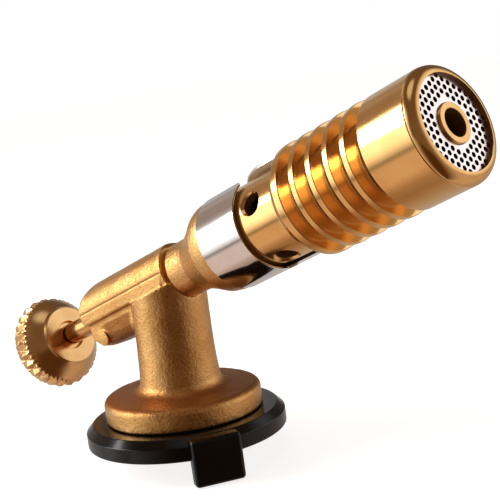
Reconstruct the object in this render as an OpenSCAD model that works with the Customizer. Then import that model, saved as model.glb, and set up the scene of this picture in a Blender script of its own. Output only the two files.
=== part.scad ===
// Hand-held propane torch head for a screw-free gas canister.
// Brass valve body and burner, black turning lock collar, steel air sleeve.
// Millimetres. Origin: centre of the collar's bottom face. +Z runs up the column.
// The burner axis lies in the XZ plane and points to +X, tilted up.
// Name endings: _r radius, _h height, _w width, _s station along the burner or valve axis.

/* [Layout] */
// height where the burner axis crosses the column axis
axis_h = 40.47; // [36:0.01:46]
// burner tilt above horizontal, degrees
tilt = 21.05; // [10:0.05:35]
// how far the needle valve axis lies below the burner axis
valve_drop = 1.2; // [0:0.1:2]

/* [Base] */
// collar outer radius
collar_r = 25.7; // [22:0.1:30]
// collar height
collar_h = 5.5; // [4:0.1:8]
// canister guide radius in the collar
guide_r = 19.5; // [18:0.1:21]
// cast flange radius
flange_r = 20.2; // [18:0.1:22]
// column radius
column_r = 9.8; // [8:0.1:12]
// guide tab width
tab_w = 12.7; // [8:0.1:18]
// guide tab reach below the collar
tab_drop = 6.3; // [3:0.1:10]
// guide tab azimuth, degrees from +X
tab_azimuth = -29.7; // [-60:0.1:0]

/* [Burner] */
// fin, shoulder and cap radius
fin_r = 13.6; // [12:0.05:15]
// groove floor radius
groove_r = 9.6; // [9:0.05:11]
// narrow barrel radius
barrel_r = 10.55; // [9.6:0.05:11]
// mixing bore radius
mix_r = 8; // [6:0.05:8.4]
// air hole radius
air_r = 2.55; // [1.5:0.05:3]
// perforated disc hole radius
perf_r = 0.64; // [0.3:0.05:0.7]
// perforated disc hole pitch
perf_pitch = 1.79; // [1.5:0.01:2.5]

/* [Valve] */
// visible stem radius
stem_r = 2.85; // [2:0.05:3.5]
// knob radius over the knurl
knob_r = 12.45; // [10:0.05:15]
// knurl teeth around the knob
knurl_teeth = 26; // [24:1:60]

/* [Hidden] */
$fn = 96;
fit = 0.02;             // gap between a part and its bore
web_half = 5.3;         // half width of the housing web
web_edge_r = 3.1;       // rounding of the web's lower corners
web_flat = 6.6;         // depth of the web's flat sides below the axis
band_half = 7.1;        // half width of the housing side band
boss_spot = [7.0, 0, -25.05]; // cross-drilled boss, axis frame
plug_bore_r = 0.9;
nozzle_bore_r = 4;
bush_bore_r = 4.2;
needle_bore_r = 2.6;
socket_thread_r = 5.2;
spigot_bore_r = 9.6;    // socket bore that takes the barrel
sleeve_ro = 11.75;      // air sleeve outside
sleeve_ri = 11.2;       // air sleeve inside
seat_r = sleeve_ri - 0.05; // socket seat under the sleeve
disc_s = 98.0;          // front face of the perforated disc
disc_h = 0.36;          // disc thickness

brass_cast = [0.72, 0.53, 0.28];
brass_turn = [0.83, 0.64, 0.33];
steel = [0.72, 0.71, 0.70];
black = [0.04, 0.035, 0.035];

// ---- shared shapes ----
// axis frame: local z runs along the burner axis, local -x is up, local y is Y
module on_axis() translate([0, 0, axis_h]) rotate([0, 90 - tilt, 0]) children();
module on_valve() on_axis() translate([valve_drop, 0, 0]) children();
// turn local +x to an angle measured from the top towards -Y
module facing(angle) rotate(180 + angle) children();

module rod(radius, start, end) translate([0, 0, start]) cylinder(r = radius, h = end - start);
// coaxial rods, rows of [radius, start, end]
module rods(rows) for (row = rows) rod(row[0], row[1], row[2]);
module tube(outer, inner, start, end) difference() {
  rod(outer, start, end);
  rod(inner, start - 1, end + 1);
}
// cone frustum from radius r1 at start to r2
module cone(r1, r2, start, height) translate([0, 0, start]) cylinder(r1 = r1, r2 = r2, h = height);
module hexagon(radius, start, height)
  translate([0, 0, start]) cylinder(r = radius, h = height, $fn = 6);
// a rod lying along local y, centred on it
module cross_rod(radius, length) rotate([90, 0, 0]) cylinder(r = radius, h = length, center = true);
// points of an arc, for profiles that are spun or extruded
function arc(centre, radius, from, to, steps = 5) = [
  for (i = [0:steps]) let (a = from + (to - from) * i / steps) centre + radius * [cos(a), sin(a)]];

// ---- casting ----
// flange and column, [radius, z]
flange_edge_r = 1.7;
fillet_r = 3;
column_profile = concat(
  [[0, 6.1], [19.5, 6.1], [19.5, 5.62], [flange_r - 0.3, 5.62], [flange_r, 5.95]],
  arc([flange_r - flange_edge_r, 9.9], flange_edge_r, 0, 80),
  [[16.5, 11.75]],
  arc([column_r + 0.5 + fillet_r, 15.0], fillet_r, 262, 180, 6),
  [[column_r + 0.15, 20], [column_r, 26], [column_r, 60], [0, 60]]);

// side outlines of the upper housing, [along the axis, up]
crown_side = concat([[-28.6, -2.3], [-29.4, -1.2]], arc([-22.2, 0.15], 7.4, 180, 90, 8),
  [[5.6, 7.55], [6.8, 6.4], [6.8, -2.3]]);
band_side = [[-28.6, -2.25], [-29.35, -1.15], [-29.55, 0.5], [-29.55, 2], [5.2, 2], [5.2, -1.4],
  [4.6, -2.25]];
web_side = [[-29.4, 0], [-29.4, -5.2], [-28.9, -6.8], [-27.7, -8.4], [-26.2, -9.3], [-24, -9.8],
  [4.5, -9.8], [6.3, -8], [6.3, 0]];

// a cross-section run along the axis and trimmed to a side outline
module housing_part(outline, length) intersection() {
  translate([0, 0, -31]) linear_extrude(length) children();
  rotate([90, 0, 0]) translate([0, 0, -8]) linear_extrude(16)
    polygon([for (point = outline) [-point[1], point[0]]]);
}

module housing_solid() {
  // rounded upper half
  housing_part(crown_side, 38) union() {
    translate([-0.45, 0]) circle(r = band_half);
    translate([0, -web_half]) square([2.2, 2 * web_half]);
  }
  // flat side bands
  housing_part(band_side, 38) translate([-1, -band_half]) square([3.2, 2 * band_half]);
  // recessed web under the bands
  housing_part(web_side, 37.5) union() {
    translate([0, -web_half]) square([web_flat, 2 * web_half]);
    translate([web_flat, -web_half + web_edge_r])
      square([web_edge_r, 2 * (web_half - web_edge_r)]);
    for (side = [-1, 1])
      translate([web_flat, side * (web_half - web_edge_r)]) circle(r = web_edge_r);
  }
  translate(boss_spot) cross_rod(2.05, 11.2);
}

module valve_body() color(brass_cast) difference() {
  union() {
    // column cut parallel to the burner axis under the side bands
    intersection() {
      rotate_extrude() polygon(column_profile);
      on_axis() translate([2.4, -30, -60]) cube([80, 60, 120]);
    }
    on_axis() housing_solid();
    // skirt that carries the lock plate
    rod(18, 3.9, 6.2);
  }
  // recess for the canister valve cup
  rod(15, 0, 8.4);
  rod(nozzle_bore_r, 8, 16);
  // gas passage
  translate([-2.4, 0, 0]) rod(1.4, 15.5, 38.4);
  at_screws() rod(1, 3, 8.2);
  // valve bore: bush seat, O-ring gland, needle bore, outlet
  on_valve() rods([[bush_bore_r, -32, -24.6], [3.8, -24.61, -15],
    [needle_bore_r, -15.01, 0.5], [1.1, 0, 3]]);
  // burner socket thread
  on_axis() rod(socket_thread_r + fit, 2.5, 8);
  // relief for the socket's neck over the column
  on_axis() translate([neck_drop, 0, 0]) rod(7.3, 7.4, 22);
  // hole through the boss, closed by a plug at each end
  on_axis() translate(boss_spot) cross_rod(plug_bore_r, 14);
}

module passage_plug() color(brass_cast) on_axis() translate(boss_spot) for (side = [-1, 1]) {
  translate([0, side * 4.6, 0]) cross_rod(plug_bore_r - fit, 2.4);
  translate([0, side * 5.8, 0]) cross_rod(1.95, 0.36);
}

// ---- burner ----
neck_drop = 0.5;       // socket neck below the burner axis
air_hole_s = 45.6;
countersink = 1.1;     // depth, and growth in radius
fin_fronts = [63.62, 69.03, 74.42, 79.72];
fin_w = 1.48;
fin_chamfer = 0.2;
flame_tube_r = 4.64;
flame_tube_s = 66;     // rear end of the flame tube and spider

// spun outlines, [radius, station]
socket_outside = [[0, 3.1], [socket_thread_r, 3.1], [socket_thread_r, 8.1], [6.4, 8.1],
  [6.4, 13.8], [6.95, 14.1], [7.3, 15], [8.05, 17], [8.95, 19], [10.0, 21], [10.65, 22.3],
  [11.05, 23.0], [11.3, 24.2], [11.45, 26], [11.45, 27.1], [11.35, 27.25], [seat_r, 27.25],
  [seat_r, 32.95], [9.6, 33], [0, 33]];
socket_neck = [[0, 7.95], [6.4, 7.95], [6.85, 8.3], [7.0, 8.8], [7.0, 14.3], [6.8, 14.6],
  [0, 14.6]];
socket_bore = [[0, 2.5], [2.75, 2.5], [2.75, 8.7], [3.4, 8.7], [3.4, 13.4], [5.2, 16], [8.4, 21],
  [8.4, 27.6], [spigot_bore_r, 27.6], [spigot_bore_r, 34], [0, 34]];
spigot_r = spigot_bore_r - fit;
disc_seat_s = disc_s - disc_h - fit;
barrel_profile = concat(
  // spigot, narrow barrel and shoulder
  [[0, 27.65], [9.2, 27.65], [spigot_r, 28.05], [spigot_r, 33.05], [barrel_r, 33.05],
    [barrel_r, 52.9], [barrel_r + 0.25, 53.4], [barrel_r + 0.8, 53.95], [13.1, 55.6],
    [13.5, 56.0], [fin_r, 56.4], [fin_r, 58.03], [fin_r - 0.2, 58.2], [groove_r, 58.2]],
  [for (front = fin_fronts) let (back = front - fin_w) each [
    [groove_r, back], [fin_r - fin_chamfer, back], [fin_r, back + fin_chamfer],
    [fin_r, front - fin_chamfer], [fin_r - fin_chamfer, front], [groove_r, front]]],
  // cap with a rounded lip and the disc's seat
  [[groove_r, 83.55], [fin_r - 0.25, 83.55], [fin_r - 0.03, 83.75], [fin_r - 0.03, 96.65]],
  arc([11.05, 96.6], 2.47, 4, 82, 6),
  [[11.15, 99.08], [11.05, 98.98], [11.05, disc_seat_s], [10.2, disc_seat_s], [10.2, 87],
    [0, 87]]);

module burner_socket() color(brass_cast) difference() {
  union() {
    on_axis() rotate_extrude() polygon(socket_outside);
    // straight neck, a little below the burner axis
    on_axis() translate([neck_drop, 0, 0]) rotate_extrude() polygon(socket_neck);
  }
  on_axis() rotate_extrude() polygon(socket_bore);
}

module gas_jet() color(brass_turn) on_axis() difference() {
  union() {
    rod(2.72, 2.6, 8.8);
    hexagon(3.3, 8.75, 2.4);
    cone(2.2, 1.0, 11.1, 1.8);
  }
  // bore and fine orifice
  rods([[1.0, 2, 11], [0.18, 10, 14]]);
}

module jet_washer() color(steel) on_axis() tube(5.1, 2.76, 2.52, 3.08);

// one air hole with its countersink
module air_hole(angle) facing(angle) translate([0, 0, air_hole_s]) rotate([0, 90, 0]) {
  cylinder(r = air_r, h = 14);
  cone(air_r, air_r + countersink, barrel_r - 0.75, countersink);
}

module burner_barrel() color(brass_turn) on_axis() difference() {
  rotate_extrude() polygon(barrel_profile);
  rod(mix_r, 27, 88);
  for (i = [0:3]) air_hole(63.5 + 90 * i);
}

module flame_tube() color(brass_turn) on_axis() difference() {
  tube(flame_tube_r, 3.16, flame_tube_s, 98.67);
  for (i = [0:3])
    rotate(45 + 90 * i) translate([0, 0, 90]) rotate([0, 90, 0]) cylinder(r = 0.8, h = 6);
}

// disc that holds the flame tube in the mixing bore and spreads the gas
module tube_spider() color(brass_turn) on_axis() difference() {
  rod(mix_r - fit, flame_tube_s, 69);
  rod(flame_tube_r + fit, 60, 75);
  for (i = [0:7]) rotate(i * 45) translate([6.3, 0, 60]) cylinder(r = 1.1, h = 12);
}

perf_turn = 6.4;            // turn of the hole rows, degrees
perf_origin = [-0.81, 1.63];
function perf_step(angle) = perf_pitch * [-cos(angle), sin(angle)];
// holes fill a ring; some more break through the disc's rim
function perforated(distance) =
  (distance > 5.55 && distance < 10.31) || (distance > 10.6 && distance < 10.95);

module flame_disc() color(steel) on_axis() difference() {
  rod(11.02, disc_s - disc_h, disc_s);
  rod(4.75, 90, 100);
  for (i = [-10:10], j = [-10:10])
    let (spot = perf_origin + i * perf_step(perf_turn) + j * perf_step(perf_turn + 60))
      if (perforated(norm(spot)))
        translate([spot.x, spot.y, 90]) cylinder(r = perf_r, h = 12, $fn = 32);
}

// ---- gas inlet ----
module inlet_nozzle() color(brass_turn) difference() {
  union() {
    rod(nozzle_bore_r - fit, 8.3, 15.4);
    hexagon(6.2, 7, 1.4);
    // tip and the neck that carries the seal
    rods([[2.6, 3.4, 5.3], [2.35, 5.2, 7.1]]);
  }
  // gas bore and filter chamber
  rods([[0.7, 3, 12], [2, 11, 16]]);
  cone(1.6, 0.5, 3.2, 1.2);
}

module inlet_seal() color(black) tube(5, 2.4, 5.32, 6.98);

module inlet_filter() color(steel) rod(1.97, 11.1, 15);

// ---- lock ----
plate_z = [3.1, 3.88];   // lock plate bottom and top
tab_back = 23.6;         // inner and outer faces of the guide tab
tab_face = 27.7;

module at_screws() for (a = [30, 150, 270]) rotate(a) translate([16.5, 0, 0]) children();

module lock_plate() color(steel) difference() {
  union() {
    tube(19.2, 15.05, plate_z[0], plate_z[1]);
    // flat bayonet tongues pointing in
    for (a = [90, 210, 330]) rotate(a) intersection() {
      tube(15.4, 13.2, plate_z[0], plate_z[1]);
      translate([0, -3.2, 0]) cube([20, 6.4, 10]);
    }
  }
  at_screws() rod(1.1, 2, 6);
}

module lock_screws() color(steel) at_screws() difference() {
  union() {
    rods([[0.98, 3.0, 7.8], [1.7, 2.6, 3.08]]);
    cone(1.4, 1.7, 2.1, 0.5);
  }
  // cross slot
  for (a = [0, 90]) rotate(a) translate([-1, -0.2, 2]) cube([2, 0.4, 0.6]);
}

module friction_washer() color(black) tube(19.3, 18.3, 5.55, 6.05);

// [radius, z]
collar_profile = [[guide_r, 0], [collar_r - 0.4, 0], [collar_r, 0.4], [collar_r, 3.5],
  [collar_r - 0.2, 3.85], [24.5, 5.25], [24.1, collar_h], [18.05, collar_h], [18.05, 4.0],
  [20.3, 4.0], [20.3, 1.9], [guide_r, 1.9]];
// side view of the guide tab, [x, z]
tab_side = [[tab_back, 0.05], [24.0, -tab_drop + 1.0], [24.8, -tab_drop], [27.0, -tab_drop],
  [tab_face, -tab_drop + 0.7], [tab_face, collar_h - 0.6], [27.2, collar_h], [tab_back, collar_h]];
// top view of the guide tab, [x, y]
tab_plan = [[20, -tab_w / 2], [27.1, -tab_w / 2], [tab_face, -tab_w / 2 + 0.6],
  [tab_face, tab_w / 2 - 0.6], [27.1, tab_w / 2], [20, tab_w / 2]];

// stands proud of the collar's rim and hangs below it
module guide_tab() rotate(tab_azimuth) intersection() {
  translate([tab_back, -tab_w / 2, -tab_drop])
    cube([tab_face - tab_back, tab_w, collar_h + tab_drop]);
  rotate([90, 0, 0]) translate([0, 0, -10]) linear_extrude(20) polygon(tab_side);
  linear_extrude(40, center = true) polygon(tab_plan);
}

// ring of pockets between ribs, left solid behind the tab
module collar_pockets() difference() {
  rod(24.2, -1, 3.0);
  rod(21.6, -2, 4);
  for (i = [0:11]) rotate(i * 30 + 0.3) translate([20, -0.6, -2]) cube([6, 1.2, 6]);
  rotate(tab_azimuth) translate([20, -tab_w / 2 - 0.8, -2]) cube([8, tab_w + 1.6, 6]);
}

module collar() color(black) difference() {
  union() {
    rotate_extrude() polygon(collar_profile);
    guide_tab();
  }
  collar_pockets();
}

// ---- valve ----
oring_s = [-22.2, -18.2];
oring_groove_r = 2.1;
stem_end_r = 2.2;     // thin stem end inside the knob
stem_step_s = -46.0;  // where the thin end starts
knob_s = -54.3;       // outer end of the knob
knurl_w = 5;
knurl_depth = 1;
knurl_twist = 6.2;    // degrees over the knurl's width

// spun outlines, [radius, station]
stem_profile = concat(
  [[0, -52.3], [2.1, -52.3], [stem_end_r, -52.2], [stem_end_r, stem_step_s],
    [stem_r, stem_step_s]],
  [for (s = oring_s) each [[stem_r, s - 1], [oring_groove_r, s - 1],
    [oring_groove_r, s + 1], [stem_r, s + 1]]],
  [[stem_r, -15.4], [2.5, -15.05], [2.5, -6.5], [1.6, -6.0], [1.6, -3.2], [0.25, -0.35],
    [0, -0.3]]);
knob_profile = [[0, -53.9], [9.8, -53.9], [10.3, knob_s], [11.0, knob_s], [11.35, -54.05],
  [11.35, -48.75], [11.2, -48.5], [10.2, -47.5], [9.1, -46.5], [8.2, -45.4], [7.95, -44.8],
  [7.8, -44.4], [0, -44.4]];

module stem_bush() color(brass_turn) on_valve() difference() {
  tube(bush_bore_r - fit, stem_r + 0.05, -30.4, -24.62);
  // slot across the outer end
  translate([-5, -0.5, -30.6]) cube([10, 1, 0.8]);
}

module needle_stem() color(brass_turn) on_valve() difference() {
  rotate_extrude() polygon(stem_profile);
  rod(1.05, -60, -47.5);
}

// round section, flattened on all four sides
module stem_orings() color(black) on_valve()
  for (s = oring_s) translate([0, 0, s]) rotate_extrude() intersection() {
    translate([2.95, 0]) circle(r = 0.95, $fn = 32);
    translate([2.13, -0.94]) square([1.64, 1.88]);
  }

module needle_seat() color(steel) on_valve() difference() {
  rod(needle_bore_r - fit, -1.5, 0.45);
  rod(0.55, -3, 2);
  cone(1.15, 0.5, -1.6, 1.2);
}

module knurl(turn, twist) translate([0, 0, knob_s]) rotate(turn)
  linear_extrude(height = knurl_w, twist = twist, slices = 1)
    polygon([for (i = [0:2 * knurl_teeth - 1])
      let (a = 180 * i / knurl_teeth, radius = i % 2 == 0 ? knob_r : knob_r - knurl_depth)
        radius * [cos(a), sin(a)]]);

module knob() color(brass_turn) on_valve() difference() {
  union() {
    rotate_extrude() polygon(knob_profile);
    // diamond knurl: two opposite twists
    intersection() {
      knurl(1.3, knurl_twist);
      knurl(0, -knurl_twist);
    }
  }
  // stem end, full stem, screw head recess
  rods([[stem_end_r + fit, -60, -40], [stem_r + fit, stem_step_s - fit, -40],
    [3.6, -60, -52.4]]);
  cone(3.7, 3.95, -45.6, 1.4);
}

module knob_screw() color(steel) on_valve() difference() {
  rods([[1.0, -52.5, -48], [2.9, -53.8, -52.42]]);
  translate([-3.5, -0.35, -54.2]) cube([7, 0.7, 0.9]);
}

// ---- air sleeve ----
// C-shaped rolled sheet; the +Y side reaches forward over its air holes
sheet_inset = 0.02;   // flat ends lie this far inside the sheet's faces
wing_angle = 342.2;   // sleeve edge on the +Y side of the top opening
lip_angle = 30;       // sleeve edge on the -Y side

// flat end outlines, [across, station]; across grows with the facing angle
wing_sweep = [[-1.65, 20], [-1.65, 30.5], [0.1, 33.4], [1.75, 35.2], [3, 36.4], [3, 20]];
lip_outline = concat([[0.4, 27.45], [0.4, 40.75]], arc([-0.6, 39.45], 1.3, 90, 180),
  arc([0.1, 29.45], 2.0, 180, 260));
wing_outline = concat([[-0.4, 52.95], [-0.4, 35.2], [0.1, 35.4], [1.2, 36.6], [3.0, 38.9],
  [4.1, 41.1], [4.8, 43.0], [5.15, 44.6], [5.3, 46.3]], arc([2.8, 50.45], 2.5, 0, 90, 6));

module wedge(from, to, start, end) facing(from) translate([0, 0, start])
  rotate_extrude(angle = to - from) square([16, end - start]);
// flat plate standing across the radius at an angle
module plate(angle, inner, thickness, outline) facing(angle) translate([inner, 0, 0])
  rotate([90, 0, 90]) linear_extrude(thickness) polygon(outline);
module sheet_end(angle, outline)
  plate(angle, sleeve_ri + sheet_inset, sleeve_ro - sleeve_ri - 2 * sheet_inset, outline);

module air_sleeve() color(steel) on_axis() union() {
  difference() {
    tube(sleeve_ro, sleeve_ri, 27.35, 53.05);
    // open at the top
    wedge(wing_angle - 360, lip_angle, 20, 60);
    // forward of the band only the +Y wing is left
    wedge(-20, 190, 40.83, 60);
    // the +Y edge sweeps forward
    plate(334, 8, 8, wing_sweep);
  }
  sheet_end(lip_angle, lip_outline);
  sheet_end(wing_angle, wing_outline);
}

valve_body();
passage_plug();
burner_socket();
gas_jet();
jet_washer();
burner_barrel();
flame_tube();
tube_spider();
flame_disc();
inlet_nozzle();
inlet_seal();
inlet_filter();
lock_plate();
lock_screws();
friction_washer();
collar();
stem_bush();
needle_stem();
stem_orings();
needle_seat();
knob();
knob_screw();
air_sleeve();
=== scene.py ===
"""Gas valve with a finned burner: cast brass body, turned brass burner and knob.

The inlet and the collar stand round the world Z axis. The burner axis lies in the XZ plane
and crosses Z above the collar, rising towards +X: burner at its upper end, knob at its lower.
Sizes are in millimetres; MM turns them into metres. "Station" means distance along the burner
axis from that crossing, positive towards +X.
"""
import bpy, bmesh, math
from math import sin, cos, pi, radians
from mathutils import Vector, Matrix, noise


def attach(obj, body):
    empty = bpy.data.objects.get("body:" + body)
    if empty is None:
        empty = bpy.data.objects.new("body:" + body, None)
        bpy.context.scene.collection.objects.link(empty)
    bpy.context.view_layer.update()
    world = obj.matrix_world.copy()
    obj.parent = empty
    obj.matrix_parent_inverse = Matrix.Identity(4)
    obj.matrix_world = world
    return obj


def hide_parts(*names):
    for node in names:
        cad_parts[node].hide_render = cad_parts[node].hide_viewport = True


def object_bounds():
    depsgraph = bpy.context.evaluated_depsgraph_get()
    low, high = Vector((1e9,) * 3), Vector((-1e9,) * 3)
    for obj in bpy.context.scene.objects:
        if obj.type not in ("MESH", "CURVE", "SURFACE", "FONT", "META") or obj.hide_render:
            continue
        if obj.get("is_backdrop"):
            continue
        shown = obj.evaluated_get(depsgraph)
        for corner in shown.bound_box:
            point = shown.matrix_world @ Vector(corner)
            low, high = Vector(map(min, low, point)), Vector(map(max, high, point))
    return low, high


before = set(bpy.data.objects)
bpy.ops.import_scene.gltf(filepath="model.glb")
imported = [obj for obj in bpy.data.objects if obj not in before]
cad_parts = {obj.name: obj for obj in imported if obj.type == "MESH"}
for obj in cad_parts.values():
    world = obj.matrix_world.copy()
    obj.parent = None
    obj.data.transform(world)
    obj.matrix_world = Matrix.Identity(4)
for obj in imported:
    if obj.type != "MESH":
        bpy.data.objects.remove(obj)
CAD_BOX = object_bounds()

MM = 0.001
AXIS_HEIGHT = 40.47            # where the burner axis crosses Z
TILT = radians(21.05)
VALVE_DROP = 1.2               # the valve axis runs this far below the burner axis
AXIS = Vector((cos(TILT), 0, sin(TILT)))
AXIS_UP = Vector((-sin(TILT), 0, cos(TILT)))
CROSSING = Vector((0, 0, AXIS_HEIGHT))
CROSSING_UP = AXIS_HEIGHT * MM * cos(TILT)       # the crossing measured along AXIS_UP, metres
CROSSING_ALONG = AXIS_HEIGHT * MM * sin(TILT)    # and along AXIS


def frame_matrix(x, y, z, origin):
    return Matrix(((x.x, y.x, z.x, origin.x), (x.y, y.y, z.y, origin.y),
                   (x.z, y.z, z.z, origin.z), (0, 0, 0, 1)))


# local z along the axis, local x up, local y towards -Y
BURNER = frame_matrix(AXIS_UP, Vector((0, -1, 0)), AXIS, CROSSING)
VALVE = frame_matrix(AXIS_UP, Vector((0, -1, 0)), AXIS, CROSSING - AXIS_UP * VALVE_DROP)
BASE = Matrix.Identity(4)

# ---------------------------------------------------------------- shader nodes


def rgba(colour):
    """A grey level or an (r, g, b) as an opaque colour."""
    if isinstance(colour, (int, float)):
        return (colour, colour, colour, 1)
    return (*colour, 1)


def is_socket(value):
    return isinstance(value, bpy.types.NodeSocket)


class Nodes:
    """Builds a node tree; values may be sockets or constants."""

    def __init__(self, owner, output_kind, coords):
        owner.use_nodes = True
        self.tree = owner.node_tree
        self.tree.nodes.clear()
        self.out = self.node(output_kind)
        self.coords = self.node("ShaderNodeTexCoord").outputs[coords]

    def node(self, kind, inputs={}, **settings):
        made = self.tree.nodes.new(kind)
        for key, value in settings.items():
            setattr(made, key, value)
        for key, value in inputs.items():
            self.put(made.inputs[key], value)
        return made

    def put(self, socket, value):
        if is_socket(value):
            self.tree.links.new(value, socket)
        else:
            socket.default_value = value

    def math(self, op, a, b=0.0):
        return self.node("ShaderNodeMath", {0: a, 1: b}, operation=op).outputs[0]

    def add(self, a, b):
        return self.math("ADD", a, b)

    def sub(self, a, b):
        return self.math("SUBTRACT", a, b)

    def mul(self, a, b):
        return self.math("MULTIPLY", a, b)

    def less(self, a, b):
        return self.math("LESS_THAN", a, b)

    def greater(self, a, b):
        return self.math("GREATER_THAN", a, b)

    def dot(self, vector, direction):
        made = self.node("ShaderNodeVectorMath", {0: vector, 1: tuple(direction)},
                         operation="DOT_PRODUCT")
        return made.outputs["Value"]

    def xyz(self, vector):
        return self.node("ShaderNodeSeparateXYZ", {0: vector}).outputs

    def noise(self, scale, detail, rough, coords=None):
        return self.node("ShaderNodeTexNoise", {
            "Vector": coords or self.coords, "Scale": scale,
            "Detail": detail, "Roughness": rough}).outputs["Fac"]

    def ramp(self, fac, *stops):
        """Stops are (position, colour or grey level), in rising order."""
        made = self.node("ShaderNodeValToRGB", {0: fac})
        elements = made.color_ramp.elements
        for index in (0, -1):
            elements[index].position = stops[index][0]
            elements[index].color = rgba(stops[index][1])
        for position, colour in stops[1:-1]:
            elements.new(position).color = rgba(colour)
        return made.outputs[0]

    def turn(self, angle):
        """An angle of -pi..pi as 0..1."""
        return self.add(self.mul(angle, 1 / (2 * pi)), 0.5)

    def angle_ramp(self, fac, stops):
        """A ramp over turn(), its stops given in degrees."""
        return self.ramp(fac, *[(((deg + 180) % 360) / 360.0, colour) for deg, colour in stops])

    def mix(self, fac, a, b, mode="MIX"):
        a, b = [v if is_socket(v) else rgba(v) for v in (a, b)]
        return self.node("ShaderNodeMix", {0: fac, 6: a, 7: b},
                         data_type="RGBA", blend_type=mode).outputs[2]

    def mix_shader(self, fac, a, b):
        return self.node("ShaderNodeMixShader", {0: fac, 1: a, 2: b}).outputs[0]

    def bump(self, height, strength, distance, under=None):
        inputs = {"Height": height, "Strength": strength, "Distance": distance}
        if under is not None:
            inputs["Normal"] = under
        return self.node("ShaderNodeBump", inputs).outputs[0]


class Surface(Nodes):
    """A material with a Principled shader."""

    def __init__(self, name):
        self.material = bpy.data.materials.new(name)
        super().__init__(self.material, "ShaderNodeOutputMaterial", "Object")
        shader = self.node("ShaderNodeBsdfPrincipled")
        self.inputs = shader.inputs
        self.shader = shader.outputs[0]
        self.put(self.out.inputs[0], self.shader)

    def finish(self, colour, rough, normal, metallic=1.0):
        for key, value in (("Base Color", colour), ("Roughness", rough),
                           ("Normal", normal), ("Metallic", metallic)):
            self.put(self.inputs[key], value)
        return self.material


# ---------------------------------------------------------------- materials


def turned(name, colour, dark, rough, axis=AXIS, painted_shade_zones=(), painted_pale_zones=()):
    """Turned metal: fine rings across the axis, faint stains, metal reflections.

    Of the two zone lists, each (radius, from, to in mm), the first holds the inner zones of bore,
    air holes and mouth, darkened as painted shade, the second the fin grooves, painted a paler
    brass to tone down the orange of light bouncing between the fins."""
    mat = Surface(name)
    along = mat.dot(mat.coords, axis)
    rings = mat.node("ShaderNodeTexNoise",
                     {"W": mat.mul(along, 9000.0), "Scale": 1.0, "Detail": 4.0},
                     noise_dimensions="1D").outputs["Fac"]
    stain = mat.noise(scale=140.0, detail=4.0, rough=0.6)
    fine = mat.noise(scale=1500.0, detail=2.0, rough=0.5)
    tint = mat.mix(mat.ramp(stain, (0.35, 0), (0.75, 1)), colour, dark)
    tint = mat.mix(0.10, tint, mat.ramp(rings, (0.3, 0.55), (0.7, 1)), "MULTIPLY")
    # roughness wavers a little with the rings and stains
    gloss = mat.add(mat.mul(rings, 0.05), mat.mul(stain, 0.06))
    gloss = mat.add(gloss, rough - 0.055)
    metallic = None
    if painted_shade_zones:
        local = mat.node("ShaderNodeVectorMath", {0: mat.coords, 1: (0, 0, AXIS_HEIGHT * MM)},
                         operation="SUBTRACT").outputs[0]
        station = mat.dot(local, AXIS)
        up = mat.dot(local, AXIS_UP)
        across = mat.dot(local, (0, 1, 0))
        radius = mat.math("SQRT", mat.add(mat.mul(up, up), mat.mul(across, across)))

        def zone_mask(zones):
            mask = None
            for limit, start, end in zones:
                inside = mat.mul(mat.less(radius, limit * MM),
                                 mat.mul(mat.greater(station, start * MM),
                                         mat.less(station, end * MM)))
                mask = inside if mask is None else mat.math("MAXIMUM", mask, inside)
            return mask

        # painted light: the fin grooves take a paler brass, toning down the deep orange of light
        # bouncing between the fins
        if painted_pale_zones:
            tint = mat.mix(zone_mask(painted_pale_zones), tint, mat.mix(0.5, tint, (0.86, 0.66, 0.40)))
        # painted shade: the bore, air-hole walls and mouth are darkened to a dull brown where they
        # lie in shade
        inner_shade = zone_mask(painted_shade_zones)
        inner_shade_colour = mat.mix(stain, (0.22, 0.085, 0.035), (0.12, 0.04, 0.015))
        tint = mat.mix(inner_shade, tint, inner_shade_colour)
        # the painted-shade zones are also rougher and less metallic
        gloss = mat.add(gloss, mat.mul(inner_shade, 0.30))
        metallic = mat.sub(1.0, mat.mul(inner_shade, 0.55))
    normal = mat.bump(rings, strength=0.25, distance=0.000004)
    normal = mat.bump(fine, strength=0.06, distance=0.00001, under=normal)
    mat.finish(tint, gloss, normal)
    if metallic:
        mat.put(mat.inputs["Metallic"], metallic)
    return mat.material


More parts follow.
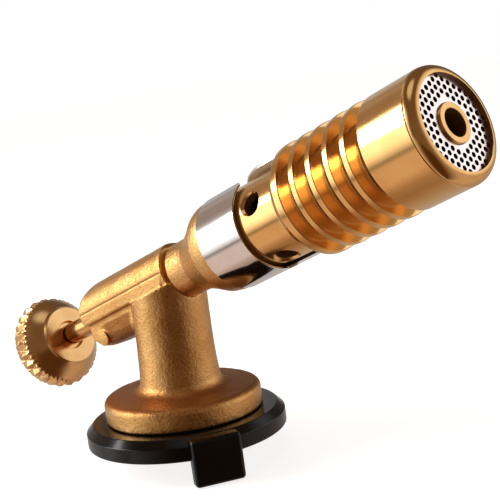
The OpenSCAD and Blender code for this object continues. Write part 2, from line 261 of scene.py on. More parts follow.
def body_shade_and_seam(mat, tint):
    """Painted shade on the flange top and the recessed web, and the mould line of the valve body:
    returns its colour and added roughness.
    """
    # painted shade: the upward faces of the flange top and the fillet at the column's foot are
    # painted a darker brown, where the column shades them
    normals = mat.node("ShaderNodeNewGeometry").outputs["True Normal"]
    place = mat.xyz(mat.coords)
    facing = mat.xyz(normals)
    height = mat.ramp(mat.mul(place["Z"], 25.0),
                      (0.0, 0), (0.235, 0), (0.27, 1), (0.36, 1), (0.48, 0))
    # mask of the painted shade on these upward faces
    skin = mat.mul(height, mat.ramp(facing["Z"], (0.25, 0), (0.80, 1)))
    tint = mat.mix(mat.mul(skin, 0.90), tint, (0.42, 0.165, 0.045))
    dull = mat.mul(skin, 0.16)

    # painted shade: the recessed web between the boss and the column is painted a darker brown
    # where it lies in shade; limits in metres, scaled into the range of the ramps
    up = mat.sub(mat.dot(mat.coords, AXIS_UP), CROSSING_UP)
    station = mat.sub(mat.dot(mat.coords, AXIS), CROSSING_ALONG)
    web_shade = mat.mul(mat.ramp(mat.mul(up, -100.0), (0.345, 0), (0.40, 1)),
                  mat.ramp(mat.mul(station, -25.0), (0.575, 1), (0.64, 0)))
    web_shade = mat.mul(web_shade, mat.ramp(mat.mul(place["X"], -50.0), (0.465, 0), (0.515, 1)))
    web_shade = mat.mul(web_shade, mat.greater(place["Z"], 0.017))
    web_shade = mat.mul(web_shade, mat.less(mat.math("ABSOLUTE", place["Y"]), 0.0057))
    tint = mat.mix(mat.mul(web_shade, 0.88), tint, (0.28, 0.10, 0.022))

    # thin dark line, 1 mm above the axis, where the two mould halves met
    up = mat.sub(mat.dot(mat.coords, AXIS_UP), CROSSING_UP + 0.0010)
    near = mat.less(mat.math("ABSOLUTE", up), 0.00013)
    flank = mat.greater(mat.math("ABSOLUTE", mat.xyz(mat.coords)["Y"]), 0.0062)
    behind = mat.less(mat.dot(mat.coords, AXIS), CROSSING_ALONG + 0.0065)
    seam = mat.mul(mat.mul(near, flank), mat.mul(behind, 0.75))
    return mat.mix(seam, tint, (0.10, 0.04, 0.012)), dull


def cast(name, marked=False):
    """Sand-cast brass: grain, pits and sparkle, darker in the low spots."""
    mat = Surface(name)
    grain = mat.noise(scale=1750.0, detail=3.5, rough=0.6)
    lumps = mat.noise(scale=640.0, detail=3.0, rough=0.55)
    blotch = mat.noise(scale=110.0, detail=4.0, rough=0.6)
    cells = mat.node("ShaderNodeTexVoronoi", {"Vector": mat.coords, "Scale": 2300.0},
                     feature="F1").outputs["Distance"]
    tint = mat.mix(mat.ramp(blotch, (0.3, 0), (0.75, 1)), (0.83, 0.49, 0.19), (0.66, 0.34, 0.10))
    shade = mat.ramp(grain, (0.30, (0.55, 0.42, 0.28)), (0.48, 0.92), (0.70, (1.0, 0.98, 0.92)))
    tint = mat.mix(0.50, tint, shade, "MULTIPLY")
    # painted shade on the flange top and the recessed web, and the mould line
    if marked:
        tint, dull = body_shade_and_seam(mat, tint)
    gloss = mat.add(mat.mul(grain, 0.20), 0.25)     # roughness 0.25 to 0.45
    if marked:
        gloss = mat.add(gloss, dull)
    normal = mat.bump(lumps, strength=0.45, distance=0.00010)
    normal = mat.bump(grain, strength=1.0, distance=0.00012, under=normal)
    normal = mat.bump(cells, strength=0.50, distance=0.00005, under=normal)
    return mat.finish(tint, gloss, normal)


def sheet(name, colour, rough, metallic=1.0):
    """Rolled stainless sheet with faint drawing lines."""
    mat = Surface(name)
    stretched = mat.node("ShaderNodeMapping", {"Vector": mat.coords, "Scale": (400, 4000, 900)})
    lines = mat.noise(scale=1.0, detail=3.0, rough=0.6, coords=stretched.outputs[0])
    smudge = mat.noise(scale=220.0, detail=4.0, rough=0.6)
    r, g, b = colour
    smudged = (r * 0.9, g * 0.87, b * 0.85)
    tint = mat.mix(mat.ramp(smudge, (0.35, 0), (0.8, 1)), colour, smudged)
    gloss = mat.add(mat.mul(smudge, 0.06), rough - 0.03)
    normal = mat.bump(lines, strength=0.10, distance=0.000008)
    return mat.finish(tint, gloss, normal, metallic)


def plastic(name, colour, rough, grain=0.05):
    """Moulded plastic: slight flow marks, dust specks and a soft clear skin."""
    mat = Surface(name)
    flow = mat.noise(scale=90.0, detail=3.0, rough=0.5)
    fine = mat.noise(scale=3500.0, detail=2.0, rough=0.5)
    speck = mat.noise(scale=1400.0, detail=1.0, rough=0.5)
    r, g, b = colour
    tint = mat.mix(mat.ramp(flow, (0.3, 0), (0.8, 1)), colour, (r * 1.8, g * 1.6, b * 1.5))
    tint = mat.mix(mat.ramp(speck, (0.76, 0), (0.82, 0.12)), tint, (0.06, 0.05, 0.045))
    mat.inputs["Specular IOR Level"].default_value = 0.32
    gloss = mat.add(mat.mul(flow, 0.10), rough - 0.05)
    normal = mat.bump(flow, strength=0.05, distance=0.0003)
    normal = mat.bump(fine, strength=grain, distance=0.00002, under=normal)
    return mat.finish(tint, gloss, normal, metallic=0.0)


CAST = cast("cast_brass", marked=True)
CAST_SOCKET = cast("cast_brass_socket")
TURNED = turned("turned_brass", colour=(0.86, 0.53, 0.22), dark=(0.76, 0.42, 0.15), rough=0.15,
                painted_shade_zones=((3.3, 60, 98.6),))
TURNED_BARREL = turned(
    "turned_brass_burner", colour=(0.87, 0.53, 0.21), dark=(0.80, 0.45, 0.15), rough=0.13,
    painted_shade_zones=((9.9, 40, 50), (9.0, 26, 90), (11.12, 85, 98.9)), painted_pale_zones=((13.4, 58, 84),))
TURNED_INLET = turned("turned_brass_inlet", colour=(0.84, 0.55, 0.24), dark=(0.74, 0.43, 0.17),
                      rough=0.2, axis=(0, 0, 1))
TURNED_KNOB = turned("turned_brass_knob", colour=(0.87, 0.55, 0.25), dark=(0.76, 0.43, 0.17),
                     rough=0.20)
SHEET = sheet("polished_sheet", colour=(0.82, 0.79, 0.775), rough=0.07)
SHEET_INSIDE = sheet("mill_finish_sheet", colour=(0.84, 0.92, 1.0), rough=0.55, metallic=0.1)
PERFORATED = sheet("perforated_sheet", colour=(0.95, 0.90, 0.88), rough=0.22)
STEEL = sheet("plated_steel", colour=(0.62, 0.61, 0.60), rough=0.24)
BLACK = plastic("black_moulding", colour=(0.0032, 0.0026, 0.0024), rough=0.15)
NYLON = plastic("black_nylon", colour=(0.012, 0.011, 0.011), rough=0.45, grain=0.2)
RUBBER = plastic("black_rubber", colour=(0.016, 0.016, 0.016), rough=0.62, grain=0.4)

NODE_MATERIALS = {
    "valve_body": CAST, "burner_socket": CAST_SOCKET, "passage_plug": CAST_SOCKET,
    "gas_jet": TURNED, "jet_washer": STEEL, "burner_barrel": TURNED_BARREL,
    "flame_tube": TURNED, "tube_spider": TURNED, "flame_disc": PERFORATED,
    "inlet_nozzle": TURNED_INLET, "inlet_seal": RUBBER, "inlet_filter": STEEL,
    "lock_plate": SHEET, "lock_screws": STEEL, "friction_washer": NYLON, "collar": BLACK,
    "stem_bush": TURNED, "needle_stem": TURNED, "stem_orings": RUBBER, "needle_seat": STEEL,
    "knob": TURNED_KNOB, "knob_screw": STEEL, "air_sleeve": SHEET,
}
for name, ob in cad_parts.items():
    ob.data.materials.clear()
    ob.data.materials.append(NODE_MATERIALS[name])

# ---------------------------------------------------------------- mesh helpers


def rounded(points, steps=4, closed=False):
    """Points (x, y[, fillet radius]) with the marked corners rounded."""
    result, count = [], len(points)
    for i, point in enumerate(points):
        fillet = point[2] if len(point) > 2 else 0
        if fillet <= 0 or (not closed and i in (0, count - 1)):
            result.append((point[0], point[1]))
            continue
        corner = Vector(point[:2])
        before = Vector(points[i - 1][:2]) - corner
        after = Vector(points[(i + 1) % count][:2]) - corner
        length_before, length_after = before.length, after.length
        before.normalize()
        after.normalize()
        angle = math.acos(max(-1, min(1, before.dot(after))))
        if angle > pi - 0.02:      # nearly straight
            result.append((point[0], point[1]))
            continue
        # the fillet may take up to 0.48 of either neighbouring edge
        cut = min(fillet / math.tan(angle / 2), 0.48 * length_before, 0.48 * length_after)
        radius = cut * math.tan(angle / 2)
        centre = corner + (before + after).normalized() * (radius / sin(angle / 2))
        first, last = corner + before * cut - centre, corner + after * cut - centre
        start = math.atan2(first.y, first.x)
        sweep = (math.atan2(last.y, last.x) - start + pi) % (2 * pi) - pi
        for k in range(steps + 1):
            a = start + sweep * k / steps
            result.append((centre.x + radius * cos(a), centre.y + radius * sin(a)))
    return result


def shade(ob, angle=35):
    """Smooth shading with edges above the angle kept sharp."""
    for face in ob.data.polygons:
        face.use_smooth = True
    ob.data.set_sharp_from_angle(angle=radians(angle))


def new_object(name, bm, material=None, smooth=35):
    bmesh.ops.recalc_face_normals(bm, faces=bm.faces[:])
    mesh = bpy.data.meshes.new(name)
    bm.to_mesh(mesh)
    bm.free()
    ob = bpy.data.objects.new(name, mesh)
    bpy.context.scene.collection.objects.link(ob)
    if material:
        mesh.materials.append(material)
    shade(ob, smooth)
    return ob


def weight_normals(ob):
    mod = ob.modifiers.new("wn", "WEIGHTED_NORMAL")
    mod.keep_sharp = True
    mod.weight = 80
    mod.mode = "FACE_AREA"


def lathe(name, profile, place, segments, material=None, closed=False, radial=None, smooth=35):
    """Spins a (radius, station) profile round local z.

    radial(radius, angle, station) may change the radius."""
    bm = bmesh.new()
    rings = []
    for radius, station in profile:
        if radius < 1e-6:
            rings.append([bm.verts.new(place @ Vector((0, 0, station)) * MM)])
            continue
        ring = []
        for k in range(segments):
            a = 2 * pi * k / segments
            r = radial(radius, a, station) if radial else radius
            ring.append(bm.verts.new(place @ Vector((r * cos(a), r * sin(a), station)) * MM))
        rings.append(ring)
    pairs = list(zip(rings, rings[1:]))
    if closed:
        pairs.append((rings[-1], rings[0]))
    for a, b in pairs:
        for k in range(segments):
            j = (k + 1) % segments
            if len(a) == 1:
                bm.faces.new((a[0], b[k], b[j]))
            elif len(b) == 1:
                bm.faces.new((a[k], a[j], b[0]))
            else:
                bm.faces.new((a[k], a[j], b[j], b[k]))
    return new_object(name, bm, material, smooth)


def apply_modifiers(ob):
    depsgraph = bpy.context.evaluated_depsgraph_get()
    mesh = bpy.data.meshes.new_from_object(ob.evaluated_get(depsgraph))
    ob.modifiers.clear()
    old = ob.data
    ob.data = mesh
    bpy.data.meshes.remove(old)


def boolean(ob, other, operation="DIFFERENCE"):
    """Combines ob with other and removes other."""
    mod = ob.modifiers.new("b", "BOOLEAN")
    mod.operation = operation
    mod.solver = "EXACT"
    mod.object = other
    apply_modifiers(ob)
    bpy.data.objects.remove(other)


def drill_four(ob, first_angle, station, profile, segments):
    """Cuts four radial holes round the burner axis; the profile is (radius, distance out)."""
    for i in range(4):
        a = radians(first_angle + 90 * i)
        across, outward = Vector((sin(a), -cos(a), 0)), Vector((cos(a), sin(a), 0))
        local = frame_matrix(across, Vector((0, 0, 1)), outward, Vector((0, 0, station)))
        boolean(ob, lathe("cut", profile, BURNER @ local, segments))
    shade(ob)
    weight_normals(ob)


def register(ob, node, part):
    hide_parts(node)
    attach(ob, part)


# ---------------------------------------------------------------- valve body


def body_relief(point):
    """Uneven cast skin in mm, plus the parting seam along the housing."""
    local = point - CROSSING
    up, station = local.dot(AXIS_UP), local.dot(AXIS)
    depth = (0.05 * noise.noise(point * 0.35) + 0.028 * noise.noise(point * 1.1)
             + 0.016 * noise.noise(point * 2.6))
    if abs(point.y) > 5.5 and station < 6.0 and up > -3:
        k = (up - 1.0) / 0.28
        depth -= 0.16 * math.exp(-k * k)     # groove 1 mm above the axis
        if 1.2 < up < 2.4:
            depth += 0.03                    # slight step over it
    return depth


def valve_body():
    """The CAD body remeshed and smoothed, so that sharp corners become cast fillets."""
    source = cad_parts["valve_body"]
    ob = bpy.data.objects.new("valve_body_cast", source.data.copy())
    bpy.context.scene.collection.objects.link(ob)
    bm = bmesh.new()
    bm.from_mesh(ob.data)
    bmesh.ops.remove_doubles(bm, verts=bm.verts[:], dist=1e-6)
    bm.to_mesh(ob.data)
    bm.free()
    remesh = ob.modifiers.new("r", "REMESH")
    remesh.mode = "VOXEL"
    remesh.voxel_size = 0.24 * MM
    remesh.adaptivity = 0
    smooth = ob.modifiers.new("s", "SMOOTH")
    smooth.factor = 0.5
    smooth.iterations = 5
    apply_modifiers(ob)
    mesh = ob.data
    normals = [v.normal.copy() for v in mesh.vertices]
    for v, normal in zip(mesh.vertices, normals):
        v.co += normal * (body_relief(v.co / MM) * MM)
    mesh.materials.clear()
    mesh.materials.append(CAST)
    for face in mesh.polygons:
        face.use_smooth = True
    register(ob, "valve_body", "body")


valve_body()

# ---------------------------------------------------------------- burner socket

# (radius, station[, fillet]), closed
SOCKET_PROFILE = [
    (2.75, 3.12), (5.18, 3.12), (5.18, 7.9), (6.3, 8.0, 0.3), (6.95, 8.4, 0.5),
    (7.0, 12.9, 2.0), (7.2, 14.8, 2.5), (8.05, 17.0, 3.0), (8.95, 19.0, 3.0),
    (10.0, 21.0, 3.0), (11.0, 22.95, 1.0), (11.35, 24.6, 1.5), (11.45, 26.0, 1.5),
    (11.45, 27.2, 0.3), (11.15, 27.3), (11.15, 32.9, 0.2), (9.62, 33.0), (9.62, 27.6),
    (8.4, 27.6), (8.4, 21), (5.2, 16), (3.4, 13.4), (3.4, 8.7), (2.75, 8.7)]


def socket_skin(radius, angle, station):
    """Cast unevenness on the outside of the neck."""
    if radius < 5.4 or station > 27.15:
        return radius
    point = Vector((radius * cos(angle), radius * sin(angle), station))
    # the neck sits a little below the burner axis
    low = 0.5 * max(0, min(1, (24 - station) / 9))
    shifted = math.sqrt(max(0, radius * radius - (low * sin(angle)) ** 2)) - low * cos(angle)
    return shifted + 0.05 * noise.noise(point * 0.4) + 0.03 * noise.noise(point * 1.3)


def burner_socket():
    outline = rounded(SOCKET_PROFILE, 5, True)
    # the cast outside is split into short steps, to carry the uneven skin
    dense = []
    for i, (r, s) in enumerate(outline):
        r2, s2 = outline[(i + 1) % len(outline)]
        outside = min(s, s2) > 7.5 and max(s, s2) < 27.3 and min(r, r2) > 5.5
        parts = max(1, int(math.hypot(r2 - r, s2 - s) / 0.4)) if outside else 1
        for j in range(parts):
            dense.append((r + (r2 - r) * j / parts, s + (s2 - s) * j / parts))
    ob = lathe("burner_socket_cast", dense, BURNER, 220, CAST_SOCKET, True, socket_skin, 60)
    register(ob, "burner_socket", "body")


burner_socket()

# ---------------------------------------------------------------- passage plugs

# (radius, distance from the XZ plane[, fillet])
PLUG_PROFILE = [(0, 3.45), (0.88, 3.45, 0.1), (0.88, 5.64), (1.98, 5.64), (1.98, 5.96, 0.22),
                (0, 6.0)]
PLUG_CENTRE = Vector((-7.0, 0, -25.05))      # in the burner frame


def passage_plugs():
    """Plugs of the cross-drilled hole, peened flat over the boss on both sides."""
    plugs = []
    for side in (1, -1):
        place = frame_matrix(AXIS_UP, AXIS * side, Vector((0, -side, 0)), BURNER @ PLUG_CENTRE)
        plugs.append(lathe("passage_plug_cast", rounded(PLUG_PROFILE), place, 48, CAST_SOCKET))
    ob, other = plugs
    boolean(ob, other, "UNION")
    shade(ob, 40)
    register(ob, "passage_plug", "body")


passage_plugs()

# ---------------------------------------------------------------- burner barrel
FIN_R = 13.6
GROOVE_R = 9.6
FIN_THICK = 1.48
FIN_ENDS = (63.62, 69.03, 74.42, 79.72)      # station of each fin's +X face
LIP_R, LIP_STATION, LIP_ROUND = 11.05, 96.6, 2.47      # bore, arc centre and arc radius
AIR_HOLE_PROFILE = [(0, 6.0), (2.55, 6.0), (2.55, 9.75, 0.25), (3.6, 10.85), (3.6, 14), (0, 14)]


def burner_barrel():
    # (radius, station[, fillet]), closed
    profile = [
        (8.0, 27.7), (9.2, 27.7), (9.58, 28.05), (9.58, 33.1), (10.55, 33.1, 0.2),
        (10.55, 53.1, 2.0), (11.3, 53.95, 2.0), (13.1, 55.6, 0.5), (13.58, 56.3, 0.5),
        (FIN_R, 58.2, 0.2), (GROOVE_R, 58.2, 0.35)]
    for end in FIN_ENDS:
        start = end - FIN_THICK
        profile += [(GROOVE_R, start, 0.35), (FIN_R, start, 0.16),
                    (FIN_R, end, 0.16), (GROOVE_R, end, 0.35)]
    profile += [(GROOVE_R, 83.55, 0.35), (13.55, 83.55, 0.16), (13.56, 96.5), (13.40, 96.64),
                (13.50, 96.78)]
    profile += [(LIP_R + LIP_ROUND * cos(radians(deg)), LIP_STATION + LIP_ROUND * sin(radians(deg)))
                for deg in range(7, 82, 5)]
    profile += [(11.28, 99.08, 0.06), (LIP_R, 99.08, 0.06), (LIP_R, 97.62), (10.2, 97.62),
                (10.2, 87.0), (8.0, 87.0)]
    ob = lathe("burner_barrel_turned", rounded(profile, 5, True), BURNER, 200, TURNED_BARREL, True)
    drill_four(ob, 63.5, 45.6, rounded(AIR_HOLE_PROFILE, 3), 48)
    register(ob, "burner_barrel", "body")


burner_barrel()


# ---------------------------------------------------------------- centre tube


def flame_tube():
    """Centre tube with softened lips and four small side holes."""
    bore, outside, start, end, lip = 3.16, 4.64, 66.0, 98.67, 0.22
    profile = [(bore, start), (outside, start, 0.2), (outside, end, lip), (bore, end, lip)]
    ob = lathe("flame_tube_turned", rounded(profile, 4, True), BURNER, 96, TURNED, True)
    drill_four(ob, 225, 90, [(0, 1.5), (0.8, 1.5), (0.8, 6), (0, 6)], 24)
    register(ob, "flame_tube", "body")


flame_tube()

# ---------------------------------------------------------------- knob
KNURLS = 26
KNURL_START, KNURL_END = -54.3, -49.3
KNURL_R = 11.75            # profile radius that marks the knurled band
KNURL_ROWS = 24
# (radius, station[, fillet])
KNOB_BACK = [(2.22, -52.4), (3.6, -52.4), (3.6, -53.9, 0.15), (9.7, -53.9, 0.3),
             (10.3, KNURL_START, 0.3), (11.5, KNURL_START)]
KNOB_FRONT = [
    (11.2, -48.5), (9.6, -46.75, 6.0), (8.25, -45.3, 1.8), (7.8, -44.4, 0.15),
    (3.95, -44.4, 0.12), (3.7, -45.6, 0.1), (2.87, -45.6), (2.87, -46.02), (2.22, -46.02)]


def triangle_wave(v):
    return abs((v % 1.0) - 0.5) * 2


def knurl(radius, angle, station):
    if abs(radius - KNURL_R) > 1e-6:
        return radius
    a = angle * KNURLS / (2 * pi)
    z = (station - KNURL_START) / (KNURL_END - KNURL_START)
    # two opposite twists of sharp ridges share one row of big pyramids
    ridge = min(triangle_wave(a + z * 0.50), triangle_wave(a - z * 0.50 + 0.46))
    edge = min(1, min(z, 1 - z) * 9)         # ridges fade at both ends of the band
    return 11.62 + 1.10 * ridge * (0.45 + 0.55 * edge)


def knob():
    profile = [point[:2] for point in KNOB_BACK]       # corners stay sharp on this side
    for j in range(KNURL_ROWS + 1):
        profile.append((KNURL_R, KNURL_START + (KNURL_END - KNURL_START) * j / KNURL_ROWS))
    profile += [(11.45, -49.0)] + rounded(KNOB_FRONT, 6)
    ob = lathe("knob_turned", profile, VALVE, 16 * KNURLS, TURNED_KNOB, True, knurl, 38)
    register(ob, "knob", "stem")


knob()

# ---------------------------------------------------------------- air sleeve
SLEEVE_R, SLEEVE_THICK = 11.75, 0.55
# round between these angles, measured from the top towards -Y; flat flaps beyond them
ROUND_START, ROUND_END = 30, 342
STRIP = 0.4                # arc length between the cuts that let the sheet bend


def sleeve_arc(degrees):
    return radians(degrees) * SLEEVE_R


def sleeve_point(arc, station, depth):
    """A point of the bent sheet, depth below its outer skin, in metres."""
    start, end = radians(ROUND_START), radians(ROUND_END)
    a = arc / SLEEVE_R
    r = SLEEVE_R - depth
    if a < start:
        t = (start - a) * SLEEVE_R
        x, y = r * cos(start) + t * sin(start), r * sin(start) - t * cos(start)
    elif a > end:
        t = (a - end) * SLEEVE_R
        x, y = r * cos(end) - t * sin(end), r * sin(end) + t * cos(end)
    else:
        x, y = r * cos(a), r * sin(a)
    return BURNER @ Vector((x, y, station)) * MM


def air_sleeve():
    arc = sleeve_arc
    flap = arc(ROUND_END)
    near, far = arc(ROUND_START) - 1.9, flap + 5.3
    # flat blank: (arc length, station[, fillet]), closed
    outline = rounded([
        (near, 27.35, 2.0), (arc(326), 27.35, 1.2), (arc(326), 30.5, 0.8),
        (flap - 1.5, 33.5, 2.0), (flap, 35.2), (flap + 1.2, 36.5, 1.0),
        (flap + 3.0, 38.9, 1.0), (flap + 4.1, 41.2, 1.0), (flap + 4.8, 43.0, 1.0),
        (flap + 5.2, 44.7, 1.0), (far, 46.3, 1.0), (far, 53.05, 2.5),
        (arc(190), 53.05, 2.5), (arc(184), 40.83, 2.5), (near, 40.83, 1.3)], 8, True)
    bm = bmesh.new()
    bm.faces.new([bm.verts.new((x, s, 0)) for x, s in outline])
    x = near + STRIP
    while x < far:
        geom = bm.verts[:] + bm.edges[:] + bm.faces[:]
        bmesh.ops.bisect_plane(bm, geom=geom, dist=1e-5, plane_co=(x, 0, 0), plane_no=(1, 0, 0))
        x += STRIP
    bmesh.ops.recalc_face_normals(bm, faces=bm.faces[:])
    bm.verts.index_update()
    flat = [(v.co.x, v.co.y) for v in bm.verts]
    faces = [[v.index for v in f.verts] for f in bm.faces]
    rim = [(e.verts[0].index, e.verts[1].index) for e in bm.edges if len(e.link_faces) == 1]
    bm.free()
    # outer and inner skin, bridged along the rim
    bm = bmesh.new()
    outer = [bm.verts.new(sleeve_point(x, s, 0)) for x, s in flat]
    inner = [bm.verts.new(sleeve_point(x, s, SLEEVE_THICK)) for x, s in flat]
    for face in faces:
        bm.faces.new([outer[k] for k in face])
        bm.faces.new([inner[k] for k in reversed(face)]).material_index = 1
    for a, b in rim:
        bm.faces.new((outer[a], outer[b], inner[b], inner[a]))
    ob = new_object("air_sleeve_sheet", bm, SHEET, 40)
    ob.data.materials.append(SHEET_INSIDE)
    bevel = ob.modifiers.new("bevel", "BEVEL")
    bevel.width = 0.08 * MM
    bevel.segments = 2
    bevel.limit_method = "ANGLE"
    bevel.angle_limit = radians(60)
    apply_modifiers(ob)
    shade(ob, 50)
    weight_normals(ob)
    register(ob, "air_sleeve", "sleeve")


air_sleeve()

# ---------------------------------------------------------------- collar with its tab
# (radius, height[, fillet]), closed
COLLAR_PROFILE = [
    (19.5, 0.0, 0.12), (25.7, 0.0, 0.5), (25.7, 3.65, 0.35), (23.85, 5.5, 0.35),
    (18.05, 5.5, 0.15), (18.05, 4.0), (20.3, 4.0), (20.3, 1.9), (19.5, 1.9)]
TAB_ANGLE = radians(-29.7)
TAB_WIDTH = 12.7


def box(name, x_span, half_width, z_span, angle, bevel=0):
    """A box across local x, turned about Z."""
    low = (x_span[0], -half_width, z_span[0])
    high = (x_span[1], half_width, z_span[1])
    bm = bmesh.new()
    bmesh.ops.create_cube(bm, size=1.0)
    turn = Matrix.Rotation(angle, 3, "Z")
    for v in bm.verts:
        v.co = Vector([low[i] + (v.co[i] + 0.5) * (high[i] - low[i]) for i in range(3)]) * MM
    if bevel:
        bmesh.ops.bevel(bm, geom=bm.edges[:], offset=bevel * MM, segments=5, profile=0.5,
                        affect="EDGES")
    for v in bm.verts:
        v.co = turn @ v.co
    return new_object(name, bm)


def collar():
    ob = lathe("collar_moulded", rounded(COLLAR_PROFILE, 4, True), BASE, 200, BLACK, True)
    tab = box("tab", (23.6, 27.7), TAB_WIDTH / 2, (-6.3, 5.5), TAB_ANGLE, bevel=1.0)
    for v in tab.data.vertices:
        # slightly slimmer at the foot of the inner side (metres)
        local = Matrix.Rotation(-TAB_ANGLE, 3, "Z") @ v.co
        if local.x < 0.0255 and local.z < -0.001:
            local.x += 0.0006 * (-local.z / 0.0063)
            v.co = Matrix.Rotation(TAB_ANGLE, 3, "Z") @ local
    boolean(ob, tab, "UNION")
    # hollow under the rim, leaving twelve ribs and a solid stretch at the tab
    pocket = lathe("pocket", [(21.6, -1), (24.2, -1), (24.2, 3.0), (21.6, 3.0)], BASE, 160,
                   closed=True)
    for i in range(12):
        boolean(pocket, box("rib", (20, 26), 0.6, (-2, 4), radians(i * 30 + 0.3)))
    boolean(pocket, box("rib", (20, 28), TAB_WIDTH / 2 + 0.8, (-2, 4), TAB_ANGLE))
    boolean(ob, pocket)
    shade(ob)
    weight_normals(ob)
    ob.data.materials.clear()
    ob.data.materials.append(BLACK)
    register(ob, "collar", "collar")


collar()

for name in ("passage_plug", "gas_jet", "tube_spider", "flame_disc", "inlet_nozzle",
             "inlet_seal", "inlet_filter", "lock_plate", "lock_screws", "friction_washer",
             "stem_bush", "needle_stem", "stem_orings", "needle_seat", "knob_screw",
             "jet_washer"):
    shade(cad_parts[name], 30)

# ---------------------------------------------------------------- floor
FLOOR_Z = -6.45 * MM
FLOOR_HALF = 1.6           # metres
FLOOR_CELLS = 40


def floor_material():
    """White to the camera, a softly glowing matt grey to other rays, clear from below."""
    mat = Surface("pale_floor")
    mat.inputs["Base Color"].default_value = rgba(0.62)
    mat.inputs["Roughness"].default_value = 0.9
    camera_ray = mat.node("ShaderNodeLightPath").outputs["Is Camera Ray"]
    seen = mat.node("ShaderNodeEmission", {"Color": (1.0, 0.99, 0.975, 1), "Strength": 0.62})
    glow = mat.node("ShaderNodeEmission", {"Strength": 0.80})
    lit = mat.node("ShaderNodeAddShader", {0: mat.shader, 1: glow.outputs[0]})
    # the mix takes its first shader for other rays and its second for camera rays
    top = mat.mix_shader(camera_ray, seen.outputs[0], lit.outputs[0])
    incoming = mat.node("ShaderNodeNewGeometry").outputs["Incoming"]
    clear = mat.node("ShaderNodeBsdfTransparent").outputs[0]
    below = mat.less(mat.xyz(incoming)["Z"], 0.0)
    mat.put(mat.out.inputs[0], mat.mix_shader(below, top, clear))
    return mat.material


def floor():
    bm = bmesh.new()
    ticks = [-FLOOR_HALF + 2 * FLOOR_HALF * i / FLOOR_CELLS for i in range(FLOOR_CELLS + 1)]
    grid = [[bm.verts.new((x, y, FLOOR_Z)) for y in ticks] for x in ticks]
    for i in range(FLOOR_CELLS):
        for j in range(FLOOR_CELLS):
            bm.faces.new((grid[i][j], grid[i + 1][j], grid[i + 1][j + 1], grid[i][j + 1]))
    ob = new_object("floor", bm, floor_material())
    ob.visible_glossy = False
    ob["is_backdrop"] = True


floor()

# ---------------------------------------------------------------- surround
# Each table is (degrees, colour or grey level).
# Round the burner axis: 0 up, 90 towards -Y; the bright card peaks at 60.
BAND = [
    (-180, (0.35, 0.23, 0.15)), (-160, (0.45, 0.33, 0.28)), (-140, (0.50, 0.45, 0.42)),
    (-57, (0.56, 0.55, 0.54)), (-41, (0.50, 0.49, 0.48)), (-33, (0.38, 0.30, 0.25)),
    (-21, (0.45, 0.38, 0.33)), (-9, (0.36, 0.27, 0.22)), (15, (0.36, 0.27, 0.22)),
    (25, (0.45, 0.38, 0.33)), (32, (0.80, 0.74, 0.70)), (39, 1.5), (60, 2.2), (78, 1.9),
    (87, 1.3), (96, (0.70, 0.66, 0.62)), (100, (0.30, 0.24, 0.20)), (104, (0.50, 0.41, 0.36)),
    (108, (0.75, 0.58, 0.49)), (140, (0.75, 0.58, 0.49)), (150, (0.60, 0.42, 0.33)),
    (160, (0.43, 0.29, 0.21)), (179.9, (0.35, 0.23, 0.15))]
# Round Z: 0 along +X, -90 towards -Y; below and above the horizon.
LOW_ROOM = [
    (-180, (0.55, 0.54, 0.53)), (-145, (0.80, 0.79, 0.78)), (-111, (0.80, 0.78, 0.76)),
    (-95, (0.50, 0.44, 0.40)), (-77, (0.25, 0.155, 0.10)), (-60, (0.09, 0.042, 0.016)),
    (-20, (0.09, 0.042, 0.016)), (-9, (0.15, 0.08, 0.045)), (8, (0.36, 0.28, 0.24)),
    (25, (0.62, 0.50, 0.44)), (59, (0.62, 0.50, 0.44)), (93, (0.46, 0.38, 0.34)),
    (130, (0.42, 0.38, 0.36)), (179.9, (0.55, 0.54, 0.53))]
HIGH_ROOM = [
    (-180, 0.5), (-150, 1.1), (-114, 1.1), (-98, (0.18, 0.12, 0.08)),
    (-10, (0.20, 0.14, 0.095)), (10, (0.34, 0.29, 0.26)), (30, (1.0, 0.97, 0.95)),
    (70, (1.2, 1.17, 1.15)), (85, (0.32, 0.30, 0.28)), (92, (0.14, 0.12, 0.11)),
    (150, (0.14, 0.12, 0.11)), (179.9, 0.5)]
SKY = (0.17, 0.105, 0.06)


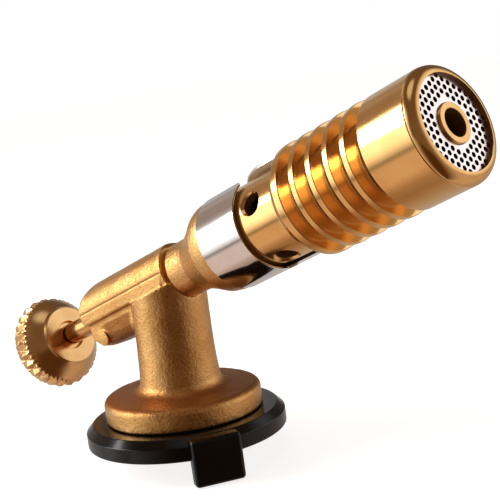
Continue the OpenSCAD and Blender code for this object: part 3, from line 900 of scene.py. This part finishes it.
def surround():
    """Studio light from all round; the camera itself sees plain white."""
    world = bpy.data.worlds.new("studio")
    bpy.context.scene.world = world
    env = Nodes(world, "ShaderNodeOutputWorld", "Generated")
    up = env.dot(env.coords, AXIS_UP)
    sideways = env.dot(env.coords, (0, -1, 0))
    band = env.angle_ramp(env.turn(env.math("ARCTAN2", sideways, up)), BAND)
    # the band fills a cone about the knob end of the axis
    along = env.add(env.mul(env.dot(env.coords, AXIS), 0.5), 0.5)
    cone = env.ramp(along, (0.0, 0), (0.04, 0), (0.10, 1), (0.21, 1), (0.275, 0), (1.0, 0))
    ray = env.xyz(env.coords)
    azimuth = env.turn(env.math("ARCTAN2", ray["Y"], ray["X"]))
    low = env.angle_ramp(azimuth, LOW_ROOM)
    high = env.angle_ramp(azimuth, HIGH_ROOM)
    horizon = env.ramp(env.add(ray["Z"], 0.5), (0.44, 0), (0.56, 1))
    colour = env.mix(cone, env.mix(horizon, low, high), band)
    # dim ceiling with a light straight above
    top = env.ramp(ray["Z"], (0.0, 0), (0.55, 0), (0.76, 1))
    ceiling = env.ramp(ray["Z"], (0.0, SKY), (0.93, SKY), (0.975, (0.75, 0.72, 0.69)))
    colour = env.mix(top, colour, ceiling)
    light = env.node("ShaderNodeBackground", {"Color": colour, "Strength": 1.0})
    white = env.node("ShaderNodeBackground", {"Color": rgba(1), "Strength": 1.0})
    camera_ray = env.node("ShaderNodeLightPath").outputs["Is Camera Ray"]
    env.put(env.out.inputs[0], env.mix_shader(camera_ray, light.outputs[0], white.outputs[0]))


def area_light(name, place, target, size, power, colour):
    light = bpy.data.lights.new(name, "AREA")
    light.energy = power
    light.size = size
    light.color = colour
    ob = bpy.data.objects.new(name, light)
    ob.location = place
    ob.rotation_euler = (Vector(target) - Vector(place)).to_track_quat("-Z", "Y").to_euler()
    bpy.context.scene.collection.objects.link(ob)


surround()
area_light("key", place=(-0.45, -0.38, 0.35), target=(0, 0, 0.03), size=0.30, power=2.1,
           colour=(1.0, 0.97, 0.93))

# ---------------------------------------------------------------- camera
AZIMUTH = radians(43.27)       # from -Y towards +X
ELEVATION = radians(9.47)
ROLL = radians(-7.60)
TARGET = Vector((20, 0, 40))
DISTANCE, SHIFT_RIGHT, SHIFT_UP = 336.24, 6.48, 7.93


def camera():
    back = Vector((sin(AZIMUTH) * cos(ELEVATION), -cos(AZIMUTH) * cos(ELEVATION),
                   sin(ELEVATION)))
    level = Vector((0, 0, 1)).cross(back).normalized()
    upright = back.cross(level)
    right = level * cos(ROLL) + upright * sin(ROLL)
    up = -level * sin(ROLL) + upright * cos(ROLL)
    place = (TARGET + back * DISTANCE + right * SHIFT_RIGHT + up * SHIFT_UP) * MM
    data = bpy.data.cameras.new("cam")
    data.sensor_width = 36
    data.lens = 99.44928
    data.clip_start = 0.01
    ob = bpy.data.objects.new("cam", data)
    ob.matrix_world = frame_matrix(right, up, back, place)
    bpy.context.scene.collection.objects.link(ob)
    bpy.context.scene.camera = ob


camera()
view = bpy.context.scene.view_settings
view.view_transform = "Standard"
view.look = "None"
view.exposure = 0.0

VISUAL_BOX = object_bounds()


def plain(b):
    """Bounds as plain lists, whether flat or nested."""
    return [[float(x) for x in c] for c in b] if hasattr(b[0], "__len__") else [float(x) for x in b]


{"cad": plain(CAD_BOX), "visual": plain(VISUAL_BOX)}
